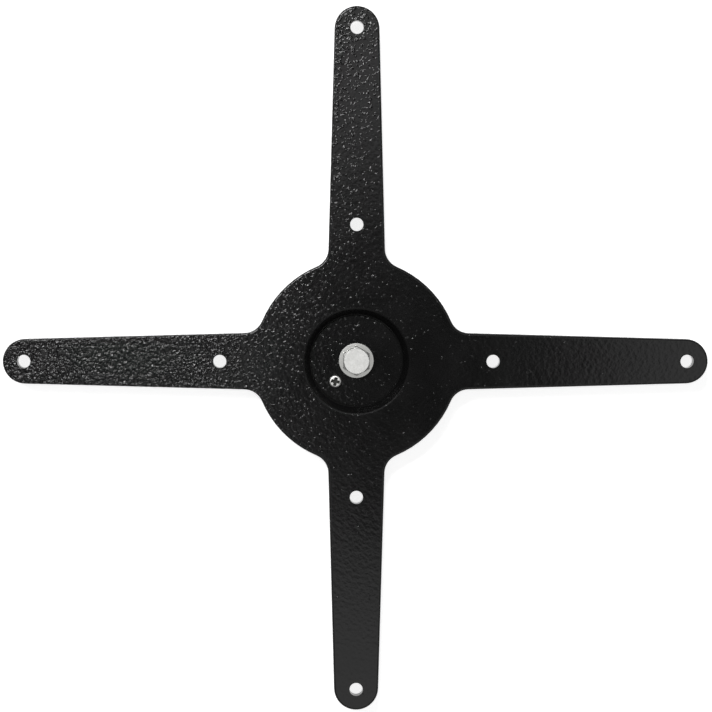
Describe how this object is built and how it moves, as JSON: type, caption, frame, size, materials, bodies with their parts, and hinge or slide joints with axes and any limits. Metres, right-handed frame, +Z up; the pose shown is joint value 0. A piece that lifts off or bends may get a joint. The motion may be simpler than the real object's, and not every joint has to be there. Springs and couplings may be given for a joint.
{
  "type": "table base top plate",
  "caption": "Cross-shaped cast iron top plate of a pedestal table base: tapering drilled arms, a dished hub with a column spigot below, a flanged centre bolt and a locking screw.",
  "frame": {"origin": "on the hub's axis, at the foot of the boss under the hub", "axes": "+Z up along the hub's axis, out of the face that meets the table top; +X and +Y along two arms, with the locking screw between -X and -Y"},
  "size_m": [0.4, 0.4, 0.02],
  "materials": {
    "black_cast_iron": "black textured powder coat",
    "zinc_plated_bolt": "dull bright zinc plate",
    "zinc_plated_screw": "bright zinc plate"
  },
  "bodies": {
    "root": {"spider_plate": "black_cast_iron", "centre_bolt": "zinc_plated_bolt", "locking_screw": "zinc_plated_screw"}
  },
  "joints": []
}
